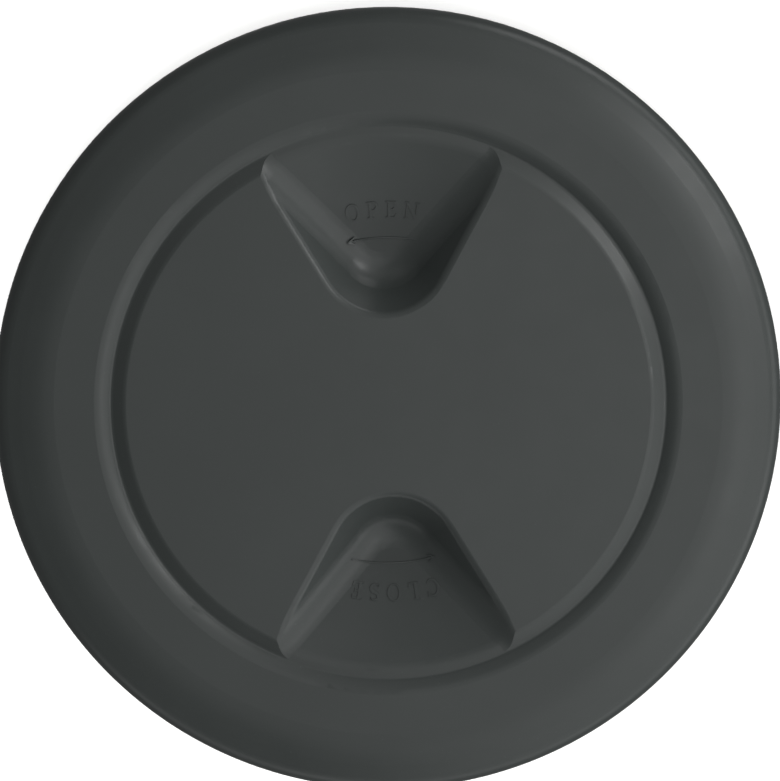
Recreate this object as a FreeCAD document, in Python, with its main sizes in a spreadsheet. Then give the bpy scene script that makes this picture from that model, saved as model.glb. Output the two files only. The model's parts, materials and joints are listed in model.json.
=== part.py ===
import FreeCAD, Part
import math
import os
import Sketcher
from FreeCAD import Placement, Rotation, Vector

# Deck inspection plate: a screw-in lid over a frame that is screwed to the deck.
# Millimetres and degrees. Z points up out of the deck and is the axis of the thread. The origin
# is the middle of the deck opening at deck level. The two finger wells of the lid lie along Y.

os.makedirs("parts", exist_ok=True)
doc = FreeCAD.newDocument("deck_inspection_plate")

# Driving dimensions
SIZES = {
    # clear opening and its thread
    "opening_dia": 125.0,
    "thread_pitch": 4.0,
    "thread_depth": 1.8,
    "thread_crest": 1.4,
    "thread_flank": 0.55,
    "thread_play": 0.5,
    "thread_root_sink": 0.3,
    "bore_thread_start": 12.0,
    "bore_thread_turns": 2.5,
    "plug_thread_turns": 2.0,
    # frame
    "barrel_wall": 2.7,
    "barrel_depth": 22.0,
    "collar_wall": 5.0,
    "collar_rise": 1.5,
    "flange_width": 12.7,
    "flange_thick": 4.0,
    "flange_bevel": 1.5,
    "edge_bevel": 0.8,
    "screw_hole": 4.8,
    "screw_head": 9.6,
    "screw_head_angle": 90.0,
    "screw_count": 6.0,
    # ring seal
    "seal_cord": 3.5,
    # lid
    "lid_shell": 3.0,
    "rim_play": 2.5,
    "rim_gap": 0.5,
    "rim_bevel": 0.4,
    "rim_fall": 9.7,
    "rim_slope": 16.5,
    "rim_bend": 26.0,
    "rim_round": 4.3,
    "plug_wall": 2.6,
    "plug_margin": 1.25,
    "neck_play": 0.4,
    "neck_end": 3.0,
    "rib_thick": 2.0,
    "rib_depth": 5.5,
    # ring groove in the top face, just inside the edge of the opening
    "groove_inset": 1.0,
    "groove_depth": 1.15,
    "groove_floor": 0.5,
    "groove_inner_slope": 23.0,
    "groove_outer_slope": 33.0,
    "groove_inner_lip": 0.16,
    "groove_outer_lip": 0.8,
    "groove_foot": 0.44,
    # finger wells
    "well_start": 20.1,
    "well_nose": 14.5,
    "well_flare": 29.8,
    "well_slope": 16.0,
    "well_draft": 40.0,
    "well_rim_flat": 2.3,
    "well_wall": 2.6,
    "well_bend": 8.0,
    "well_lip_round": 2.0,
    "well_prism": 0.8,
    "well_foot_round": 7.7,
    "well_foot_room": 0.9,
    # how far the cutting solids pass the faces that they open
    "clear_past": 4.0,
}

sheet = doc.addObject("Spreadsheet::Sheet", "sizes")
for row, (alias, value) in enumerate(SIZES.items(), start=1):
    sheet.set(f"A{row}", alias)
    sheet.set(f"B{row}", f"{value:g}")
    sheet.setAlias(f"B{row}", alias)
doc.recompute()

# Radii that the parts share, from the opening outwards
OPENING_RAD = "(sizes.opening_dia / 2)"
BORE_RAD = f"({OPENING_RAD} + sizes.thread_depth)"
BARREL_RAD = f"({BORE_RAD} + sizes.barrel_wall)"
COLLAR_RAD = f"({BORE_RAD} + sizes.collar_wall)"
FLANGE_RAD = f"({COLLAR_RAD} + sizes.flange_width)"
RIM_BORE = f"({FLANGE_RAD} + sizes.rim_play)"
LID_RAD = f"({RIM_BORE} + sizes.lid_shell)"
SCREW_RAD = f"(({COLLAR_RAD} + {FLANGE_RAD}) / 2)"

# Radii of the plug, from the opening inwards
NECK_RAD = f"({BORE_RAD} - sizes.neck_play)"
PLUG_CREST = f"({BORE_RAD} - sizes.thread_play)"
PLUG_RAD = f"({OPENING_RAD} - sizes.thread_play)"
PLUG_BORE = f"({PLUG_RAD} - sizes.plug_wall)"
PLUG_MIDDLE = f"({PLUG_RAD} - sizes.plug_wall / 2)"

# Levels, stacked up from the deck, and the lower end of the plug
COLLAR_TOP = "(sizes.flange_thick + sizes.collar_rise)"
UNDER_LID = f"({COLLAR_TOP} + sizes.seal_cord)"
LID_TOP = f"({UNDER_LID} + sizes.lid_shell)"
THREAD_ROOT_HALF = "(sizes.thread_crest / 2 + sizes.thread_flank)"
BORE_THREAD_LOW = "(-sizes.bore_thread_start)"
PLUG_THREAD_LOW = f"({BORE_THREAD_LOW} + sizes.thread_pitch / 2)"
PLUG_LOW = f"({PLUG_THREAD_LOW} - {THREAD_ROOT_HALF} - sizes.plug_margin)"

# Rim: the top face falls off towards the edge, and the inside follows one shell below it
RIM_TAN = "tan(sizes.rim_slope * 1 deg)"
RIM_CREST = f"({LID_RAD} - sizes.rim_fall)"
RIM_SHOULDER = f"({LID_TOP} - sizes.rim_fall * {RIM_TAN})"
RIM_INNER_CREST = f"({RIM_CREST} - sizes.lid_shell * tan(sizes.rim_slope * 0.5 deg))"
RIM_INNER_SHOULDER = f"({UNDER_LID} - ({RIM_BORE} - {RIM_INNER_CREST}) * {RIM_TAN})"

# Ring groove: floor, run of each side, and rounding as a share of what carries it
GROOVE_MIDDLE = f"({OPENING_RAD} - sizes.groove_inset)"
GROOVE_LOW = f"({LID_TOP} - sizes.groove_depth)"
GROOVE_INNER = f"({GROOVE_MIDDLE} - sizes.groove_floor / 2)"
GROOVE_OUTER = f"({GROOVE_MIDDLE} + sizes.groove_floor / 2)"


def groove_side(side):
    """Run, lip radius and foot radius of the groove's inner or outer side."""
    angle = f"sizes.groove_{side}_slope"
    half = f"tan({angle} * 0.5 deg)"
    run = f"(sizes.groove_depth / tan({angle} * 1 deg))"
    lip = f"(sizes.groove_{side}_lip * sizes.groove_depth / sin({angle} * 1 deg) / {half})"
    return run, lip, f"(sizes.groove_foot * sizes.groove_floor / {half})"


INNER_RUN, INNER_LIP, INNER_FOOT = groove_side("inner")
OUTER_RUN, OUTER_LIP, OUTER_FOOT = groove_side("outer")

# Finger wells: centre of the nose, ends of floor and outline, and the shell below the hollow
WELL_CENTRE = "(sizes.well_start + sizes.well_nose)"
WELL_FLOOR_END = f"({GROOVE_MIDDLE} - sizes.well_rim_flat)"
WELL_REACH = f"({OPENING_RAD} + 3 * sizes.clear_past)"
WELL_OUTER = f"({OPENING_RAD} + sizes.clear_past / 4)"
WELL_FLOOR_DROP = "(sizes.well_wall / cos(sizes.well_slope * 1 deg))"
DRAFT_TAN = "tan(sizes.well_draft * 1 deg)"
WELL_SHELL_NOSE = "(sizes.well_nose + sizes.well_wall / cos(sizes.well_draft * 1 deg))"


def value_of(expression):
    """Number that an expression in the sheet's names has now."""
    return float(sheet.evalExpression(expression.replace("sizes.", "")))


def bind(item, name, expression):
    """Set a property to what an expression gives and keep it bound to that expression."""
    setattr(item, name, value_of(expression))
    item.setExpression(name, expression)


def hold(sketch, constraint, expression):
    """Add a dimension to a sketch and bind it to an expression."""
    number = sketch.addConstraint(constraint)
    sketch.setExpression(f"Constraints[{number}]", expression)


def origin_plane(body, role):
    """One of the three planes of a body's own origin."""
    return next(item for item in body.Origin.OriginFeatures if item.Role == role)


def body_sketch(body, name, role):
    """Empty sketch on an origin plane of its body."""
    sketch = body.newObject("Sketcher::SketchObject", name)
    sketch.AttachmentSupport = (origin_plane(body, role), [""])
    sketch.MapMode = "FlatFace"
    return sketch


def section(body, name, corners):
    """Closed polygon in the XZ plane, each corner held by its radius and its height."""
    sketch = body_sketch(body, name, "XZ_Plane")
    points = [Vector(value_of(rad), value_of(level), 0) for rad, level in corners]
    count = len(points)
    for i in range(count):
        sketch.addGeometry(Part.LineSegment(points[i], points[(i + 1) % count]))
    for i in range(count):
        sketch.addConstraint(Sketcher.Constraint("Coincident", i, 2, (i + 1) % count, 1))
    for i, (rad, level) in enumerate(corners):
        hold(sketch, Sketcher.Constraint("DistanceX", -1, 1, i, 1, points[i].x), rad)
        hold(sketch, Sketcher.Constraint("DistanceY", -1, 1, i, 1, points[i].y), level)
    return sketch


def turned(body, name, corners):
    """Full turn of a polygon about Z."""
    sketch = section(body, f"{name}_section", corners)
    solid = body.newObject("PartDesign::Revolution", name)
    solid.Profile = sketch
    solid.ReferenceAxis = (sketch, ["V_Axis"])
    solid.Angle = 360
    doc.recompute()
    return solid


def ring_edges(shape, rings):
    """Names of the circular edges about Z at the given radii and heights."""
    names = []
    for rad, level in rings:
        place = Vector(0, 0, value_of(level))
        found = [
            f"Edge{i}"
            for i, edge in enumerate(shape.Edges, start=1)
            if isinstance(edge.Curve, Part.Circle)
            and edge.Curve.Center.distanceToPoint(place) < 0.01
            and abs(edge.Curve.Radius - value_of(rad)) < 0.01
        ]
        if not found:
            raise ValueError(f"no edge at radius {value_of(rad):.2f}, height {place.z:.2f}")
        names += found
    return names


def rounded(body, name, base, radius, rings):
    """Fillet on ring edges of a body."""
    fillet = body.newObject("PartDesign::Fillet", name)
    fillet.Base = (base, ring_edges(base.Shape, rings))
    bind(fillet, "Radius", radius)
    doc.recompute()
    return fillet


def bevelled(body, name, base, size, rings):
    """Chamfer on ring edges of a body."""
    chamfer = body.newObject("PartDesign::Chamfer", name)
    chamfer.Base = (base, ring_edges(base.Shape, rings))
    bind(chamfer, "Size", size)
    doc.recompute()
    return chamfer


def thread_ridge(body, name, wall, crest, sunk, low, turns):
    """Right-handed helical ridge from a wall to its crest, with sloping flanks."""
    root_half = THREAD_ROOT_HALF
    crest_half = "sizes.thread_crest / 2"
    sketch = section(body, f"{name}_section", [
        (sunk, f"{low} - {root_half}"),
        (wall, f"{low} - {root_half}"),
        (crest, f"{low} - {crest_half}"),
        (crest, f"{low} + {crest_half}"),
        (wall, f"{low} + {root_half}"),
        (sunk, f"{low} + {root_half}"),
    ])
    ridge = body.newObject("PartDesign::AdditiveHelix", name)
    ridge.Profile = sketch
    ridge.ReferenceAxis = (sketch, ["V_Axis"])
    ridge.Mode = "pitch-height-angle"
    ridge.Angle = 0
    bind(ridge, "Pitch", "sizes.thread_pitch")
    bind(ridge, "Height", f"{turns} * sizes.thread_pitch")
    body.Tip = ridge
    doc.recompute()


def part_object(kind, name, **bound):
    """Part primitive or operation with its properties bound to expressions."""
    item = doc.addObject(kind, name)
    for key, expression in bound.items():
        bind(item, key, expression)
    return item


def put(item, across, along, level):
    """Bind the place of an object to expressions."""
    place = Vector(value_of(across), value_of(along), value_of(level))
    item.Placement = Placement(place, Rotation())
    for axis, expression in zip("xyz", (across, along, level)):
        item.setExpression(f".Placement.Base.{axis}", expression)
    doc.recompute()


def combined(kind, name, items):
    """Fusion or common solid of several objects."""
    result = doc.addObject(kind, name)
    result.Shapes = items
    doc.recompute()
    return result


# Frame: flange on the deck, collar above it and threaded barrel through the opening
frame = doc.addObject("PartDesign::Body", "frame_ring")
frame_turned = turned(frame, "frame_turned", [
    (BORE_RAD, "-sizes.barrel_depth"),
    (BARREL_RAD, "-sizes.barrel_depth"),
    (BARREL_RAD, "0"),
    (FLANGE_RAD, "0"),
    (FLANGE_RAD, "sizes.flange_thick"),
    (COLLAR_RAD, "sizes.flange_thick"),
    (COLLAR_RAD, COLLAR_TOP),
    (BORE_RAD, COLLAR_TOP),
])
flange_edge = bevelled(frame, "flange_edge", frame_turned, "sizes.flange_bevel", [
    (FLANGE_RAD, "sizes.flange_thick"),
])
bevelled(frame, "frame_edges", flange_edge, "sizes.edge_bevel", [
    (BORE_RAD, "-sizes.barrel_depth"),
    (BARREL_RAD, "-sizes.barrel_depth"),
    (COLLAR_RAD, COLLAR_TOP),
])

# Screw holes: one countersunk hole through the flange, repeated round the ring
screw_mark = body_sketch(frame, "screw_mark", "XY_Plane")
screw_mark.AttachmentOffset = Placement(Vector(0, 0, SIZES["flange_thick"]), Rotation())
screw_mark.setExpression(".AttachmentOffset.Base.z", "sizes.flange_thick")
screw_place = Vector(value_of(SCREW_RAD), 0, 0)
screw_rad = SIZES["screw_hole"] / 2
screw_mark.addGeometry(Part.Circle(screw_place, Vector(0, 0, 1), screw_rad))
screw_mark.addConstraint(Sketcher.Constraint("PointOnObject", 0, 3, -1))
hold(screw_mark, Sketcher.Constraint("DistanceX", -1, 1, 0, 3, screw_place.x), SCREW_RAD)
hold(screw_mark, Sketcher.Constraint("Radius", 0, screw_rad), "sizes.screw_hole / 2")
doc.recompute()

screw_hole = frame.newObject("PartDesign::Hole", "screw_hole")
screw_hole.Profile = screw_mark
doc.recompute()
screw_hole.DepthType = "ThroughAll"
bind(screw_hole, "Diameter", "sizes.screw_hole")
screw_hole.HoleCutType = "Countersink"
screw_hole.HoleCutCustomValues = True
bind(screw_hole, "HoleCutDiameter", "sizes.screw_head")
bind(screw_hole, "HoleCutCountersinkAngle", "sizes.screw_head_angle")
doc.recompute()
screw_holes = frame.newObject("PartDesign::PolarPattern", "screw_holes")
screw_holes.Originals = [screw_hole]
screw_holes.Axis = (screw_mark, ["N_Axis"])
screw_holes.Angle = 360
screw_holes.Occurrences = int(SIZES["screw_count"])
screw_holes.setExpression("Occurrences", "sizes.screw_count")
frame.Tip = screw_holes
doc.recompute()

thread_ridge(
    frame,
    "bore_thread",
    wall=BORE_RAD,
    crest=OPENING_RAD,
    sunk=f"({BORE_RAD} + sizes.thread_root_sink)",
    low=BORE_THREAD_LOW,
    turns="sizes.bore_thread_turns",
)

# Lid, turned part: disc, ring groove, domed rim, and the plug that carries the outer thread
lid_turned = doc.addObject("PartDesign::Body", "lid_turned")
lid_section = turned(lid_turned, "lid_profile", [
    ("0", LID_TOP),
    (f"{GROOVE_INNER} - {INNER_RUN}", LID_TOP),
    (GROOVE_INNER, GROOVE_LOW),
    (GROOVE_OUTER, GROOVE_LOW),
    (f"{GROOVE_OUTER} + {OUTER_RUN}", LID_TOP),
    (RIM_CREST, LID_TOP),
    (LID_RAD, RIM_SHOULDER),
    (LID_RAD, "sizes.rim_gap"),
    (RIM_BORE, "sizes.rim_gap"),
    (RIM_BORE, RIM_INNER_SHOULDER),
    (RIM_INNER_CREST, UNDER_LID),
    (NECK_RAD, UNDER_LID),
    (NECK_RAD, "sizes.neck_end"),
    (PLUG_RAD, "sizes.neck_end"),
    (PLUG_RAD, PLUG_LOW),
    (PLUG_BORE, PLUG_LOW),
    (PLUG_BORE, UNDER_LID),
    ("0", UNDER_LID),
])
LID_ROUNDS = [
    ("rim_bend", "sizes.rim_bend", (RIM_CREST, LID_TOP)),
    ("rim_round", "sizes.rim_round", (LID_RAD, RIM_SHOULDER)),
    ("rim_bend_inside", "sizes.rim_bend - sizes.lid_shell", (RIM_INNER_CREST, UNDER_LID)),
    ("rim_round_inside", "sizes.rim_round - sizes.lid_shell", (RIM_BORE, RIM_INNER_SHOULDER)),
    ("groove_inner_lip", INNER_LIP, (f"{GROOVE_INNER} - {INNER_RUN}", LID_TOP)),
    ("groove_outer_lip", OUTER_LIP, (f"{GROOVE_OUTER} + {OUTER_RUN}", LID_TOP)),
    ("groove_inner_foot", INNER_FOOT, (GROOVE_INNER, GROOVE_LOW)),
    ("groove_outer_foot", OUTER_FOOT, (GROOVE_OUTER, GROOVE_LOW)),
]
lid_rounded = lid_section
for name, radius, ring in LID_ROUNDS:
    lid_rounded = rounded(lid_turned, name, lid_rounded, radius, [ring])
rim_edge = bevelled(lid_turned, "rim_edge", lid_rounded, "sizes.rim_bevel", [
    (LID_RAD, "sizes.rim_gap"),
    (RIM_BORE, "sizes.rim_gap"),
])
bevelled(lid_turned, "plug_end", rim_edge, "sizes.edge_bevel", [
    (PLUG_RAD, PLUG_LOW),
    (PLUG_BORE, PLUG_LOW),
])
thread_ridge(
    lid_turned,
    "plug_thread",
    wall=PLUG_RAD,
    crest=PLUG_CREST,
    sunk=f"({PLUG_RAD} - sizes.thread_root_sink)",
    low=PLUG_THREAD_LOW,
    turns="sizes.plug_thread_turns",
)


def well_plan(name, nose):
    """Outline of a finger well above the lid: round nose towards the middle, flaring sides."""
    flare = math.radians(SIZES["well_flare"])
    nose_rad = value_of(nose)
    centre = Vector(0, value_of(WELL_CENTRE), 0)
    touch = centre + Vector(math.cos(flare), -math.sin(flare), 0) * nose_rad
    run = (value_of(WELL_REACH) - touch.y) / math.cos(flare)
    far = touch + Vector(math.sin(flare), math.cos(flare), 0) * run
    left_touch = Vector(-touch.x, touch.y, 0)
    left_far = Vector(-far.x, far.y, 0)
    left, round_end, right, closing = range(4)
    sketch = doc.addObject("Sketcher::SketchObject", name)
    sketch.addGeometry(Part.LineSegment(left_far, left_touch))
    circle = Part.Circle(centre, Vector(0, 0, 1), nose_rad)
    sketch.addGeometry(Part.ArcOfCircle(circle, math.pi + flare, -flare))
    sketch.addGeometry(Part.LineSegment(touch, far))
    sketch.addGeometry(Part.LineSegment(far, left_far))
    sketch.addConstraint(Sketcher.Constraint("Tangent", left, 2, round_end, 1))
    sketch.addConstraint(Sketcher.Constraint("Tangent", round_end, 2, right, 1))
    sketch.addConstraint(Sketcher.Constraint("Coincident", right, 2, closing, 1))
    sketch.addConstraint(Sketcher.Constraint("Coincident", closing, 2, left, 1))
    sketch.addConstraint(Sketcher.Constraint("PointOnObject", round_end, 3, -2))
    sketch.addConstraint(Sketcher.Constraint("Symmetric", right, 2, left, 1, -2))
    hold(sketch, Sketcher.Constraint("DistanceY", -1, 1, round_end, 3, centre.y), WELL_CENTRE)
    hold(sketch, Sketcher.Constraint("Radius", round_end, nose_rad), nose)
    hold(sketch, Sketcher.Constraint("DistanceY", -1, 1, right, 2, far.y), WELL_REACH)
    angle = Sketcher.Constraint("Angle", right, math.pi / 2 - flare)
    hold(sketch, angle, "90 deg - sizes.well_flare * 1 deg")
    put(sketch, "0", "0", f"{LID_TOP} + sizes.clear_past")
    return sketch


def floor_level(rad, drop):
    """Height of the well's conical floor at a radius, lowered by a drop."""
    fall = f"({WELL_FLOOR_END} - {rad}) * tan(sizes.well_slope * 1 deg)"
    return f"({GROOVE_LOW} - {fall} - {drop})"


def foot_limit(nose, drop):
    """Largest foot radius for which the round nose of a well has room where it meets the floor."""
    slope = math.radians(SIZES["well_slope"])
    draft = math.radians(SIZES["well_draft"])
    nose_rad = value_of(nose)
    start = value_of(WELL_CENTRE) - nose_rad
    drop_at_start = value_of(LID_TOP) - value_of(floor_level(f"{start:.6f}", drop))
    depth = drop_at_start / (1 + math.tan(slope) * math.tan(draft))
    foot_rad = nose_rad - depth * math.tan(draft)
    return SIZES["well_foot_room"] * foot_rad / math.tan((math.pi / 2 - draft + slope) / 2)


def points_along(edge):
    """Five points along an edge and their distances from the axis."""
    start, finish = edge.ParameterRange
    points = [edge.valueAt(start + (finish - start) * k / 4) for k in range(5)]
    return points, [math.hypot(point.x, point.y) for point in points]


def foot_edges(shape, drop):
    """Numbers of the edges where the sides and the nose of a well meet its floor."""
    flat = value_of(f"{GROOVE_LOW} - {drop}")
    numbers = []
    for i, edge in enumerate(shape.Edges, start=1):
        points, rads = points_along(edge)
        levels = [min(flat, value_of(floor_level(f"{rad:.6f}", drop))) for rad in rads]
        off_floor = max(abs(point.z - level) for point, level in zip(points, levels))
        if off_floor < 0.2 and max(rads) - min(rads) > 0.2:
            numbers.append(i)
    return numbers


def lip_edges(shape):
    """Numbers of the edges along the sides and the nose of a well in the top face."""
    top = value_of(LID_TOP)
    outer = value_of(WELL_OUTER)
    numbers = []
    for i, edge in enumerate(shape.Edges, start=1):
        points, rads = points_along(edge)
        off_top = max(abs(point.z - top) for point in points)
        if off_top < 0.01 and max(rads) < outer + 0.01 and max(rads) - min(rads) > 0.2:
            numbers.append(i)
    return numbers


def well_scoop(name, nose, drop, grow):
    """Tapered prism of one well over its floor, with a rounded foot, open above the lid."""
    prism = doc.addObject("Part::Extrusion", f"{name}_prism")
    prism.Base = well_plan(f"{name}_plan", f"({nose} + sizes.clear_past * {DRAFT_TAN})")
    prism.DirMode = "Custom"
    prism.Dir = Vector(0, 0, -1)
    prism.Solid = True
    bind(prism, "LengthFwd", f"sizes.clear_past + sizes.well_prism * {nose} / {DRAFT_TAN}")
    bind(prism, "TaperAngle", "-sizes.well_draft")
    zone = doc.addObject("PartDesign::Body", f"{name}_zone")
    inner = "(sizes.well_start - sizes.well_wall - sizes.clear_past)"
    top = f"({LID_TOP} + sizes.clear_past / 2)"
    rim_floor = f"({GROOVE_LOW} - {drop})"
    floor = turned(zone, f"{name}_floor", [
        (inner, floor_level(inner, drop)),
        (WELL_FLOOR_END, rim_floor),
        (WELL_OUTER, rim_floor),
        (WELL_OUTER, top),
        (inner, top),
    ])
    bend = (WELL_FLOOR_END, rim_floor)
    zone.Tip = rounded(zone, f"{name}_bend", floor, "sizes.well_bend", [bend])
    trimmed = combined("Part::MultiCommon", f"{name}_trimmed", [prism, zone])
    scoop = doc.addObject("Part::Fillet", f"{name}_scoop")
    scoop.Base = trimmed
    foot = min(SIZES["well_foot_round"] + grow, foot_limit(nose, drop))
    scoop.Edges = [(i, foot, foot) for i in foot_edges(trimmed.Shape, drop)]
    doc.recompute()
    return scoop


def far_side(name, source):
    """The same solid in the other half of the lid."""
    mirrored = doc.addObject("Part::Mirroring", name)
    mirrored.Source = source
    mirrored.Normal = Vector(0, 1, 0)
    doc.recompute()
    return mirrored


# Hollow of a finger well: the scoop with a rounded lip, as far out as the middle of the groove
hollow_scoop = well_scoop("well", nose="sizes.well_nose", drop="0", grow=0.0)
sky_width = f"({WELL_REACH} + sizes.clear_past)"
well_sky = part_object(
    "Part::Box",
    "well_sky",
    Length=f"2 * {sky_width}",
    Width=sky_width,
    Height="sizes.clear_past",
)
put(well_sky, f"-{sky_width}", "0", LID_TOP)
well_opened = combined("Part::MultiFuse", "well_opened", [hollow_scoop, well_sky])
well_lip = doc.addObject("Part::Fillet", "well_lip")
well_lip.Base = well_opened
lip_round = SIZES["well_lip_round"]
well_lip.Edges = [(i, lip_round, lip_round) for i in lip_edges(well_opened.Shape)]
hollow_zone = part_object(
    "Part::Cylinder",
    "hollow_zone",
    Radius=GROOVE_MIDDLE,
    Height=f"{LID_TOP} + sizes.barrel_depth + sizes.clear_past",
)
put(hollow_zone, "0", "0", "-sizes.barrel_depth")
well_hollow = combined("Part::MultiCommon", "well_hollow", [well_lip, hollow_zone])

# Wall of a finger well under the disc, one wall thickness outside its hollow
shell_scoop = well_scoop(
    "well_shell", nose=WELL_SHELL_NOSE, drop=WELL_FLOOR_DROP, grow=SIZES["well_wall"]
)
shell_zone = part_object(
    "Part::Cylinder",
    "shell_zone",
    Radius=PLUG_MIDDLE,
    Height=f"{UNDER_LID} + sizes.lid_shell / 2 + sizes.barrel_depth",
)
put(shell_zone, "0", "0", "-sizes.barrel_depth")
well_shell = combined("Part::MultiCommon", "well_shell", [shell_scoop, shell_zone])

# Stiffening cross under the disc: one rib from side to side, one from well to well
rib_height = "sizes.rib_depth + sizes.lid_shell / 2"
rib_low = f"({UNDER_LID} - sizes.rib_depth)"
rib_end = f"(sizes.well_start + sizes.rib_depth * {DRAFT_TAN})"
rib_across = part_object(
    "Part::Box",
    "rib_across",
    Length=f"2 * {PLUG_MIDDLE}",
    Width="sizes.rib_thick",
    Height=rib_height,
)
put(rib_across, f"-{PLUG_MIDDLE}", "-sizes.rib_thick / 2", rib_low)
rib_along = part_object(
    "Part::Box",
    "rib_along",
    Length="sizes.rib_thick",
    Width=f"2 * {rib_end}",
    Height=rib_height,
)
put(rib_along, "-sizes.rib_thick / 2", f"-{rib_end}", rib_low)

# Lid: all of it joined, then both wells hollowed out
lid_full = combined("Part::MultiFuse", "lid_full", [
    lid_turned,
    well_shell,
    far_side("well_shell_far", well_shell),
    rib_across,
    rib_along,
])
lid = doc.addObject("Part::Cut", "lid")
lid.Base = lid_full
lid.Tool = combined("Part::MultiFuse", "well_hollows", [
    well_hollow,
    far_side("well_hollow_far", well_hollow),
])
lid.Refine = True
doc.recompute()

# Ring seal on the plug's neck, between the collar of the frame and the underside of the lid
seal = part_object(
    "Part::Torus",
    "lid_seal",
    Radius1=f"{NECK_RAD} + sizes.seal_cord / 2",
    Radius2="sizes.seal_cord / 2",
)
put(seal, "0", "0", f"{COLLAR_TOP} + sizes.seal_cord / 2")

# Every object is checked, then each part is written
PARTS = {"frame_ring": frame, "lid": lid, "lid_seal": seal}
problems = [
    f"{item.Name} is {item.State}"
    for item in doc.Objects
    if "Invalid" in item.State or "Error" in item.State
]
for name, item in PARTS.items():
    item.Label = name
    shape = item.Shape
    if shape.isNull() or not shape.isValid() or len(shape.Solids) != 1:
        problems.append(f"{name} isn't one valid solid")
if problems:
    raise RuntimeError("; ".join(problems))
for name, item in PARTS.items():
    solid = item.Shape.Solids[0]
    solid.exportStep(f"parts/{name}.step")
    box = solid.optimalBoundingBox(False, False)
    print(
        f"{name}: {solid.Volume:.0f} mm3, {len(solid.Faces)} faces, "
        f"{box.XLength:.2f} x {box.YLength:.2f}, z {box.ZMin:.2f} to {box.ZMax:.2f}"
    )
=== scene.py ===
import json
import math

import bmesh
import bpy
from mathutils import Matrix, Vector
from mathutils.bvhtree import BVHTree

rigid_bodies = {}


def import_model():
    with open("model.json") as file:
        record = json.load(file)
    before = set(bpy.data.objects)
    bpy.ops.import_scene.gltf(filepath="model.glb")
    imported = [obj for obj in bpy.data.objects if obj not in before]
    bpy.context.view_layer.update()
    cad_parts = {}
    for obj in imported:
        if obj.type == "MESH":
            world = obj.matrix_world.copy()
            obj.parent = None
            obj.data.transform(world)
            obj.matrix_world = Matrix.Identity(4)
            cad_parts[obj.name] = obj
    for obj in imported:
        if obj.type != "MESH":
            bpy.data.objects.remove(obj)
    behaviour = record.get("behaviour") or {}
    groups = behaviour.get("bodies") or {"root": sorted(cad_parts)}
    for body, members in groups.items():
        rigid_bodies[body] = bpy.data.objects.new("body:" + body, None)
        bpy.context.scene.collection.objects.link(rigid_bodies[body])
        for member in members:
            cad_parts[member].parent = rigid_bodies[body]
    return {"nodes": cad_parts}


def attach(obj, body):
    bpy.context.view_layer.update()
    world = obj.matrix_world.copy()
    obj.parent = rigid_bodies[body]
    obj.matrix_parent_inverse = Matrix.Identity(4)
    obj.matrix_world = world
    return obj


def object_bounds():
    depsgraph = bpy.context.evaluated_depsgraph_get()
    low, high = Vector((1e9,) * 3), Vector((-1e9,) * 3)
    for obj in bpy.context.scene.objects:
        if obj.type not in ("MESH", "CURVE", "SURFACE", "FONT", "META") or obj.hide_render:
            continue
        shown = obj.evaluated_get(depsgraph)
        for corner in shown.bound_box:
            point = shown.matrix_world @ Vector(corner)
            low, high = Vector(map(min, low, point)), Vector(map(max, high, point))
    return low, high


# Deck inspection plate: looks, lettering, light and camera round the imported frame.
# Metres. Z points up out of the deck, and the finger wells lie along Y.

# Blender's start-up objects go before the frame comes in
for item in list(bpy.data.objects):
    bpy.data.objects.remove(item)
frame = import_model()
bpy.context.view_layer.update()
CAD_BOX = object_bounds()
NODES = frame["nodes"]
SCENE = bpy.context.scene
MM = 0.001

# Lettering, in millimetres: radius of its foot line, cap height, space between letters, height
# over the floor of the well, depth of its root under that floor and rounding of its edges
LETTER_RAD = 41.05
LETTER_HEIGHT = 3.75
LETTER_GAP = 1.65
LETTER_RISE = 0.22
LETTER_SINK = 0.4
LETTER_EDGE = 0.12
EDGE_SEGMENTS = 3
PROBE_START = 0.05  # metres over the deck, above every part of the lid

# Arrows, in millimetres, the half angle in degrees. A barb runs back and out from the tip.
ARROW_RAD = 36.5
ARROW_HALF = 14.5
ARROW_LINE = 0.34
ARROW_STEPS = 24
BARB_BACK = 1.43
BARB_OUT = 0.825
BARB_LAP = 0.1
BARB_THINNING = 0.8

# Turns about +Z, in radians. The near well is half a turn from the far one.
OPEN_TURN = 0.0
OPEN_ARROW_TURN = -0.045
CLOSE_TURN = math.pi + 0.008
CLOSE_ARROW_TURN = math.pi

# Camera: over the plate, leaning a little towards the far well. The side is given along the
# photograph's right and up, and the aim is measured from the plate's middle the same way.
CAMERA_LEAN = math.radians(6.9)
CAMERA_SIDE = (-0.15, 0.99)
CAMERA_ROLL = math.radians(1.8)
CAMERA_REACH = 1.1
CAMERA_CLIP = (0.05, 50.0)
PIXELS = 781
PIXELS_PER_MM = 4.474
AIM = (0.49 * MM, 1.92 * MM)
SENSOR = 36.0

# Looks: base colours in linear light and roughness, the wear being the spread of roughness
CHARCOAL = (0.049, 0.0565, 0.0545)
FRAME_SHADE = 0.97
SEAL_BLACK = (0.016, 0.016, 0.017)
LID_ROUGH = 0.34
FRAME_ROUGH = 0.55
SEAL_ROUGH = 0.62
WEAR = 0.03
FLOOR_WHITE = (0.86, 0.86, 0.85)
FLOOR_DARK = (0.85, 0.85, 0.84)
FLOOR_LIGHT = (0.87, 0.87, 0.865)
FLOOR_ROUGH = 0.9
FLOOR_SPECULAR = 0.1
FLOOR_SIZE = 6.0
FLOOR_CELLS = 8
FLOOR_CLEARANCE = 0.0002

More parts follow.
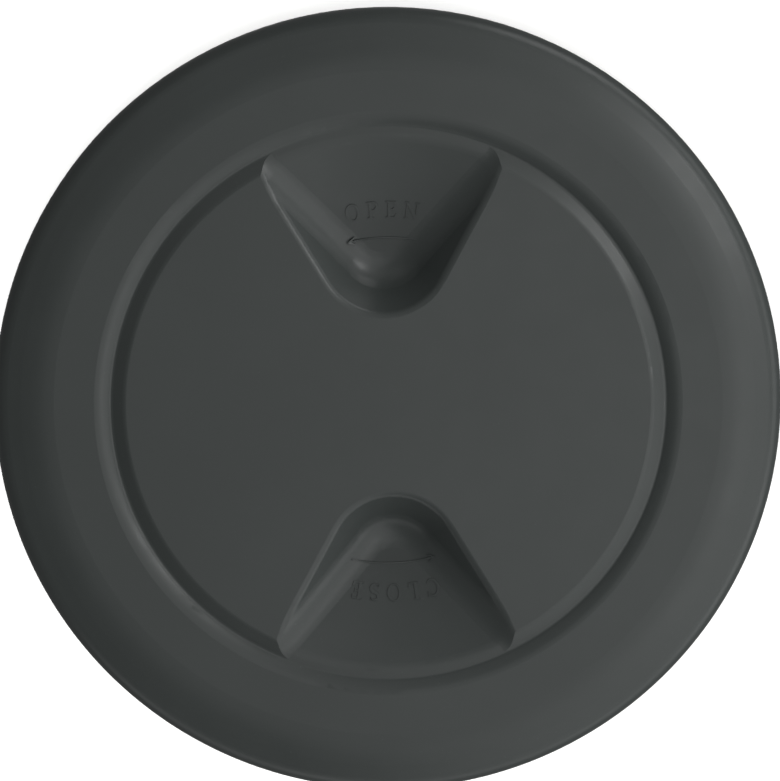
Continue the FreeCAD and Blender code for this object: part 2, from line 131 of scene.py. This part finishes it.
# Light: name, azimuth, elevation, size in metres and power in watts. Azimuths are seen as in
# the photograph, anticlockwise from its right.
RIG_REACH = 1.2
BOXES = [
    ("key", 26, 46, 0.3, 1.85),
    ("overhead_right", 0, 75, 0.7, 1.17),
    ("overhead_front", 270, 75, 0.7, 0.36),
    ("right_high", 345, 50, 0.7, 1.41),
    ("front_high", 300, 50, 0.7, 1.14),
    ("upper_right_high", 60, 50, 0.7, 0.66),
    ("upper_left_high", 120, 50, 0.7, 0.35),
    ("lower_right_mid", 330, 25, 0.6, 0.54),
    ("front_mid", 300, 25, 0.6, 0.42),
    ("upper_right_low", 60, 10, 0.6, 2.1),
    ("right_upper_low", 30, 10, 0.6, 1.2),
    ("right_low", 0, 10, 0.6, 1.3),
    ("right_lower_low", 330, 10, 0.6, 1.41),
    ("front_right_low", 300, 10, 0.6, 0.87),
    ("front_low", 270, 10, 0.6, 0.87),
    ("front_left_low", 240, 10, 0.6, 0.66),
]
FLOOR_BOX = ("floor_light", 90, 90, 2.4, 120.0)
FLOOR_BOX_REACH = 2.0
WORLD_STRENGTH = 0.155


# Camera
def image_plane():
    """The photograph's right, up and towards-camera directions in the part's frame."""
    roll = Matrix.Rotation(-CAMERA_ROLL, 3, "Z")
    right = roll @ Vector((1, 0, 0))
    ahead = roll @ Vector((0, 1, 0))
    side = Vector(CAMERA_SIDE).normalized()
    back = (right * side.x + ahead * side.y) * math.sin(CAMERA_LEAN)
    back += Vector((0, 0, math.cos(CAMERA_LEAN)))
    return right, ahead, back


def make_camera():
    """Camera of the photograph, its lens set by the scale of the picture."""
    right, ahead, back = image_plane()
    target = Vector((0, 0, MM)) + right * AIM[0] + ahead * AIM[1]
    up = (ahead - back * ahead.dot(back)).normalized()
    across = up.cross(back).normalized()
    data = bpy.data.cameras.new("photo_camera")
    data.sensor_width = SENSOR
    data.lens = PIXELS_PER_MM / MM * SENSOR * CAMERA_REACH / PIXELS
    data.clip_start, data.clip_end = CAMERA_CLIP
    camera = bpy.data.objects.new("photo_camera", data)
    turn = Matrix((across, up, back)).transposed().to_4x4()
    camera.matrix_world = Matrix.Translation(target + back * CAMERA_REACH) @ turn
    SCENE.collection.objects.link(camera)
    SCENE.camera = camera


make_camera()


# Materials
def node_of(tree, kind, **values):
    """New shader node with settings by attribute and inputs by name."""
    node = tree.nodes.new(kind)
    for name, value in values.items():
        if name in node.inputs:
            node.inputs[name].default_value = value
        else:
            setattr(node, name, value)
    return node


def plain_material(name, rough, base):
    """Principled material with its tree, shader and object coordinates."""
    material = bpy.data.materials.new(name)
    material.use_nodes = True
    tree = material.node_tree
    shader = tree.nodes["Principled BSDF"]
    shader.inputs["Base Color"].default_value = (*base, 1)
    shader.inputs["Roughness"].default_value = rough
    coords = tree.nodes.new("ShaderNodeTexCoord")
    return material, tree, shader, coords


def noise(tree, coords, scale, detail=3.0, rough=0.5):
    """Noise in object space."""
    node = node_of(tree, "ShaderNodeTexNoise", Scale=scale, Detail=detail, Roughness=rough)
    tree.links.new(coords.outputs["Object"], node.inputs["Vector"])
    return node


def spread(tree, source, low, high, start=0.3, end=0.7):
    """Map a noise factor to a range."""
    node = tree.nodes.new("ShaderNodeMapRange")
    for key, value in (("From Min", start), ("From Max", end), ("To Min", low), ("To Max", high)):
        node.inputs[key].default_value = value
    tree.links.new(source, node.inputs["Value"])
    return node


def tint(tree, factor, dark, light):
    """Mix of two colours by a factor."""
    node = tree.nodes.new("ShaderNodeMix")
    node.data_type = "RGBA"
    node.inputs["A"].default_value = (*dark, 1)
    node.inputs["B"].default_value = (*light, 1)
    tree.links.new(factor, node.inputs["Factor"])
    return node


def shaded(colour, factor):
    """Colour made darker or lighter by a factor."""
    return [channel * factor for channel in colour]


def bumped(tree, shader, height, strength, distance):
    """Give a shader a bump from a height."""
    bump = node_of(tree, "ShaderNodeBump", Strength=strength, Distance=distance)
    tree.links.new(height, bump.inputs["Height"])
    tree.links.new(bump.outputs["Normal"], shader.inputs["Normal"])


def moulded_plastic(name, base, rough):
    """Semi-matte moulded plastic: faint flow mottling, fine surface grain, a little dust."""
    material, tree, shader, coords = plain_material(name, rough, base)
    links = tree.links
    flow = noise(tree, coords, scale=28.0, detail=2.0)
    mottling = spread(tree, flow.outputs["Fac"], 0, 1)
    body = tint(tree, mottling.outputs["Result"], shaded(base, 0.955), shaded(base, 1.045))
    specks = noise(tree, coords, scale=1500.0, detail=2.0, rough=0.6)
    dust = spread(tree, specks.outputs["Fac"], 0, 0.28, start=0.66, end=0.74)
    dusty = tree.nodes.new("ShaderNodeMix")
    dusty.data_type = "RGBA"
    dusty.inputs["B"].default_value = (*shaded(base, 1.7), 1)
    links.new(dust.outputs["Result"], dusty.inputs["Factor"])
    links.new(body.outputs["Result"], dusty.inputs["A"])
    links.new(dusty.outputs["Result"], shader.inputs["Base Color"])
    gloss = noise(tree, coords, scale=160.0)
    wear = spread(tree, gloss.outputs["Fac"], rough - WEAR, rough + WEAR)
    links.new(wear.outputs["Result"], shader.inputs["Roughness"])
    grain = noise(tree, coords, scale=2600.0, detail=2.0, rough=0.6)
    bumped(tree, shader, grain.outputs["Fac"], strength=0.012, distance=0.0004)
    return material


def rubber(name, base):
    """Soft black rubber with a dusty bloom and its fine moulded skin."""
    material, tree, shader, coords = plain_material(name, SEAL_ROUGH, base)
    bloom = spread(tree, noise(tree, coords, scale=90.0, detail=4.0).outputs["Fac"], 0, 1)
    body = tint(tree, bloom.outputs["Result"], shaded(base, 0.85), shaded(base, 1.4))
    tree.links.new(body.outputs["Result"], shader.inputs["Base Color"])
    skin = noise(tree, coords, scale=1800.0, detail=2.0)
    bumped(tree, shader, skin.outputs["Fac"], strength=0.06, distance=0.0003)
    return material


def put_on(obj, material):
    """Give every material slot of an object this material."""
    if not obj.data.materials:
        obj.data.materials.append(material)
    for place in range(len(obj.data.materials)):
        obj.data.materials[place] = material


LID_PLASTIC = moulded_plastic("lid_plastic_look", CHARCOAL, LID_ROUGH)
FRAME_PLASTIC = moulded_plastic("frame_plastic_look", shaded(CHARCOAL, FRAME_SHADE), FRAME_ROUGH)
SEAL_RUBBER = rubber("seal_rubber_look", SEAL_BLACK)
put_on(NODES["lid"], LID_PLASTIC)
put_on(NODES["frame_ring"], FRAME_PLASTIC)
put_on(NODES["lid_seal"], SEAL_RUBBER)


# Glyphs on a cap height of 1: width and closed loops. In O and P the second loop is a hole,
# in the other letters the loops are parts that lie over each other.
def ring_points(cx, cy, rx, ry, start, end, count):
    """Points on an ellipse arc, angles in degrees."""
    angles = [math.radians(start + (end - start) * i / count) for i in range(count + 1)]
    return [(cx + rx * math.cos(a), cy + ry * math.sin(a)) for a in angles]


def swept(centre_line, widths):
    """Outline round a line whose width changes along it."""
    count = len(centre_line)
    left, right = [], []
    for i, (x, y) in enumerate(centre_line):
        ax, ay = centre_line[max(i - 1, 0)]
        bx, by = centre_line[min(i + 1, count - 1)]
        length = math.hypot(bx - ax, by - ay)
        nx, ny = -(by - ay) / length, (bx - ax) / length
        half = widths[i] / 2
        left.append((x + nx * half, y + ny * half))
        right.append((x - nx * half, y - ny * half))
    return left + right[::-1]


def glyph_o():
    outer = ring_points(0.42, 0.5, 0.42, 0.515, 0, 360, 40)[:-1]
    inner = ring_points(0.42, 0.5, 0.265, 0.455, 0, 360, 40)[:-1]
    return 0.84, [outer, inner]


def glyph_p():
    bowl = ring_points(0.36, 0.725, 0.31, 0.275, 90, -90, 20)
    outer = [(0, 0), (0.40, 0), (0.40, 0.05), (0.28, 0.08), (0.28, 0.45)]
    outer += bowl[::-1]
    outer += [(0, 1), (0, 0.95), (0.12, 0.92), (0.12, 0.08), (0, 0.05)]
    inner = [(0.28, 0.515)] + ring_points(0.34, 0.725, 0.175, 0.21, -90, 90, 16) + [(0.28, 0.935)]
    return 0.67, [outer, inner]


def glyph_e():
    return 0.66, [[
        (0, 0), (0.62, 0), (0.66, 0.26), (0.61, 0.26), (0.52, 0.075), (0.28, 0.065),
        (0.28, 0.48), (0.42, 0.475), (0.46, 0.38), (0.50, 0.38), (0.50, 0.64), (0.46, 0.64),
        (0.42, 0.545), (0.28, 0.54), (0.28, 0.935), (0.48, 0.925), (0.56, 0.76), (0.61, 0.76),
        (0.58, 1), (0, 1), (0, 0.95), (0.12, 0.92), (0.12, 0.08), (0, 0.05),
    ]]


def glyph_n():
    return 0.86, [[
        (0, 0), (0.28, 0), (0.28, 0.05), (0.175, 0.08), (0.175, 0.80), (0.68, 0), (0.755, 0),
        (0.755, 0.92), (0.86, 0.95), (0.86, 1), (0.58, 1), (0.58, 0.95), (0.685, 0.92),
        (0.685, 0.29), (0.24, 1), (0, 1), (0, 0.95), (0.105, 0.92), (0.105, 0.08), (0, 0.05),
    ]]


def swelling(count, thin, more, power):
    """Stroke widths that swell from thin at both ends to the middle."""
    waves = [max(0.0, math.sin(math.pi * i / (count - 1))) for i in range(count)]
    return [thin + more * wave ** power for wave in waves]


def glyph_c():
    line = ring_points(0.43, 0.5, 0.35, 0.47, 48, 318, 40)
    tip = [(0.63, 0.93), (0.70, 1.0), (0.74, 1.0), (0.74, 0.68), (0.70, 0.68), (0.63, 0.82)]
    return 0.78, [swept(line, swelling(len(line), thin=0.06, more=0.10, power=0.8)), tip]


def glyph_l():
    return 0.64, [[
        (0, 0), (0.60, 0), (0.64, 0.28), (0.59, 0.28), (0.50, 0.075), (0.28, 0.065),
        (0.28, 0.92), (0.40, 0.95), (0.40, 1), (0, 1), (0, 0.95), (0.12, 0.92),
        (0.12, 0.08), (0, 0.05),
    ]]


def glyph_s():
    upper = ring_points(0.31, 0.735, 0.225, 0.225, 25, 250, 22)
    lower = ring_points(0.29, 0.26, 0.25, 0.235, 75, -155, 24)
    line = upper + lower
    tips = [
        [(0.50, 0.78), (0.54, 0.98), (0.495, 0.98), (0.44, 0.86)],
        [(0.09, 0.24), (0.035, 0.02), (0.08, 0.02), (0.15, 0.13)],
    ]
    return 0.58, [swept(line, swelling(len(line), thin=0.055, more=0.125, power=1.5)), *tips]


GLYPHS = {
    "O": glyph_o, "P": glyph_p, "E": glyph_e, "N": glyph_n,
    "C": glyph_c, "L": glyph_l, "S": glyph_s,
}
HOLED = {"O", "P"}


def lid_surface():
    """Search tree over the faces of the lid as it stands at rest."""
    shape = bmesh.new()
    shape.from_mesh(NODES["lid"].data)
    shape.transform(NODES["lid"].matrix_world)
    tree = BVHTree.FromBMesh(shape)
    shape.free()
    return tree


LID_SURFACE = lid_surface()


def floor_height(x, y):
    """Height of the lid's top surface over the deck, millimetres."""
    start = Vector((x * MM, y * MM, PROBE_START))
    spot = LID_SURFACE.ray_cast(start, Vector((0, 0, -1)))[0]
    return spot.z / MM


def flat_plate(loops):
    """Filled flat mesh of closed loops, later loops being holes of the first."""
    curve = bpy.data.curves.new("outline", "CURVE")
    curve.dimensions = "2D"
    curve.fill_mode = "BOTH"
    for loop in loops:
        spline = curve.splines.new("POLY")
        spline.points.add(len(loop) - 1)
        for point, (x, y) in zip(spline.points, loop):
            point.co = (x, y, 0, 1)
        spline.use_cyclic_u = True
    holder = bpy.data.objects.new("outline", curve)
    mesh = bpy.data.meshes.new_from_object(holder)
    bpy.data.objects.remove(holder)
    bpy.data.curves.remove(curve)
    return mesh


def raised(name, plates, turn):
    """Raised figure on the floor of a well, from flat plates in millimetres.

    The plates are drawn in the far well and follow its floor, then the figure is turned.
    """
    shape = bmesh.new()
    for plate in plates:
        shape.from_mesh(plate)
        bpy.data.meshes.remove(plate)
    for face in shape.faces:
        if face.normal.z < 0:
            face.normal_flip()
    made = bmesh.ops.extrude_face_region(shape, geom=list(shape.faces), use_keep_orig=True)
    lifted = {item for item in made["geom"] if isinstance(item, bmesh.types.BMVert)}
    for vert in shape.verts:
        level = floor_height(vert.co.x, vert.co.y)
        vert.co.z = level + (LETTER_RISE if vert in lifted else -LETTER_SINK)
    bmesh.ops.recalc_face_normals(shape, faces=shape.faces)
    shape.transform(Matrix.Rotation(turn, 4, "Z") @ Matrix.Scale(MM, 4))
    mesh = bpy.data.meshes.new(name)
    shape.to_mesh(mesh)
    shape.free()
    obj = bpy.data.objects.new(name, mesh)
    SCENE.collection.objects.link(obj)
    bevel = obj.modifiers.new("soft_edges", "BEVEL")
    bevel.width = LETTER_EDGE * MM
    bevel.segments = EDGE_SEGMENTS
    bevel.limit_method = "ANGLE"
    put_on(obj, LID_PLASTIC)
    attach(obj, "lid")


def on_arc(loops, shift):
    """Loops of a glyph laid along the arc of the word, shift being the way along it."""
    laid = []
    for loop in loops:
        points = []
        for x, y in loop:
            rad = LETTER_RAD + y * LETTER_HEIGHT
            angle = (x * LETTER_HEIGHT + shift) / (LETTER_RAD + LETTER_HEIGHT / 2)
            points.append((rad * math.sin(angle), rad * math.cos(angle)))
        laid.append(points)
    return laid


def word(text, turn):
    """Raised capitals along an arc round the plate's middle."""
    widths = [GLYPHS[letter]()[0] * LETTER_HEIGHT for letter in text]
    shift = -(sum(widths) + LETTER_GAP * (len(text) - 1)) / 2
    plates = []
    for letter, width in zip(text, widths):
        loops = on_arc(GLYPHS[letter]()[1], shift)
        if letter in HOLED:
            plates.append(flat_plate(loops))
        else:
            plates += [flat_plate([loop]) for loop in loops]
        shift += width + LETTER_GAP
    raised(f"word_{text.lower()}", plates, turn)


def arrow(name, turn):
    """Raised thin arc with an arrow head at its left end."""
    half = math.radians(ARROW_HALF)
    angles = [-half + 2 * half * i / ARROW_STEPS for i in range(ARROW_STEPS + 1)]
    line = [(ARROW_RAD * math.sin(a), ARROW_RAD * math.cos(a)) for a in angles]
    plates = [flat_plate([swept(line, [ARROW_LINE] * len(line))])]
    tip = Vector(line[0])
    along = (Vector(line[1]) - tip).normalized()
    across = Vector((-along.y, along.x))
    for side in (-1, 1):
        barb = tip + along * BARB_BACK + across * side * BARB_OUT
        ends = [tuple(tip - along * BARB_LAP), tuple(barb)]
        plates.append(flat_plate([swept(ends, [ARROW_LINE, ARROW_LINE * BARB_THINNING])]))
    raised(name, plates, turn)


word("OPEN", OPEN_TURN)
arrow("arrow_open", OPEN_ARROW_TURN)
word("CLOSE", CLOSE_TURN)
arrow("arrow_close", CLOSE_ARROW_TURN)


# Floor
def make_floor():
    """Pale floor just under the part, staged."""
    shape = bmesh.new()
    cells = {"x_segments": FLOOR_CELLS, "y_segments": FLOOR_CELLS}
    bmesh.ops.create_grid(shape, **cells, size=FLOOR_SIZE / 2)
    mesh = bpy.data.meshes.new("floor")
    shape.to_mesh(mesh)
    shape.free()
    floor = bpy.data.objects.new("floor", mesh)
    floor.location.z = CAD_BOX[0].z - FLOOR_CLEARANCE
    SCENE.collection.objects.link(floor)
    material, tree, shader, coords = plain_material("floor_look", FLOOR_ROUGH, FLOOR_WHITE)
    cloudy = spread(tree, noise(tree, coords, scale=1.5).outputs["Fac"], 0, 1)
    shade = tint(tree, cloudy.outputs["Result"], FLOOR_DARK, FLOOR_LIGHT)
    tree.links.new(shade.outputs["Result"], shader.inputs["Base Color"])
    shader.inputs["Specular IOR Level"].default_value = FLOOR_SPECULAR
    put_on(floor, material)
    floor.visible_diffuse = False
    floor.visible_glossy = False
    return floor


FLOOR = make_floor()


# Light
def softbox(name, azimuth, elevation, size, power, reach):
    """Square area light aimed at the middle of the plate."""
    right, ahead, _ = image_plane()
    a = math.radians(azimuth)
    e = math.radians(elevation)
    back = (right * math.cos(a) + ahead * math.sin(a)) * math.cos(e)
    back += Vector((0, 0, math.sin(e)))
    data = bpy.data.lights.new(name, "AREA")
    data.shape = "SQUARE"
    data.size = size
    data.energy = power
    light = bpy.data.objects.new(name, data)
    light.rotation_mode = "QUATERNION"
    light.location = back * reach
    light.rotation_quaternion = (-back).to_track_quat("-Z", "Y")
    SCENE.collection.objects.link(light)
    return light


def link_light(light, name, obj, state):
    """Let a light reach only one object, or all but that one."""
    group = bpy.data.collections.new(name)
    group.objects.link(obj)
    group.collection_objects[0].light_linking.link_state = state
    light.light_linking.receiver_collection = group


for box in BOXES:
    link_light(softbox(*box, RIG_REACH), f"{box[0]}_off_floor", FLOOR, "EXCLUDE")
link_light(softbox(*FLOOR_BOX, FLOOR_BOX_REACH), "floor_only", FLOOR, "INCLUDE")


def make_world():
    """Even white surroundings."""
    world = bpy.data.worlds.new("studio")
    world.use_nodes = True
    back = world.node_tree.nodes["Background"]
    back.inputs["Color"].default_value = (1, 1, 1, 1)
    back.inputs["Strength"].default_value = WORLD_STRENGTH
    SCENE.world = world


make_world()
SCENE.view_settings.view_transform = "Standard"
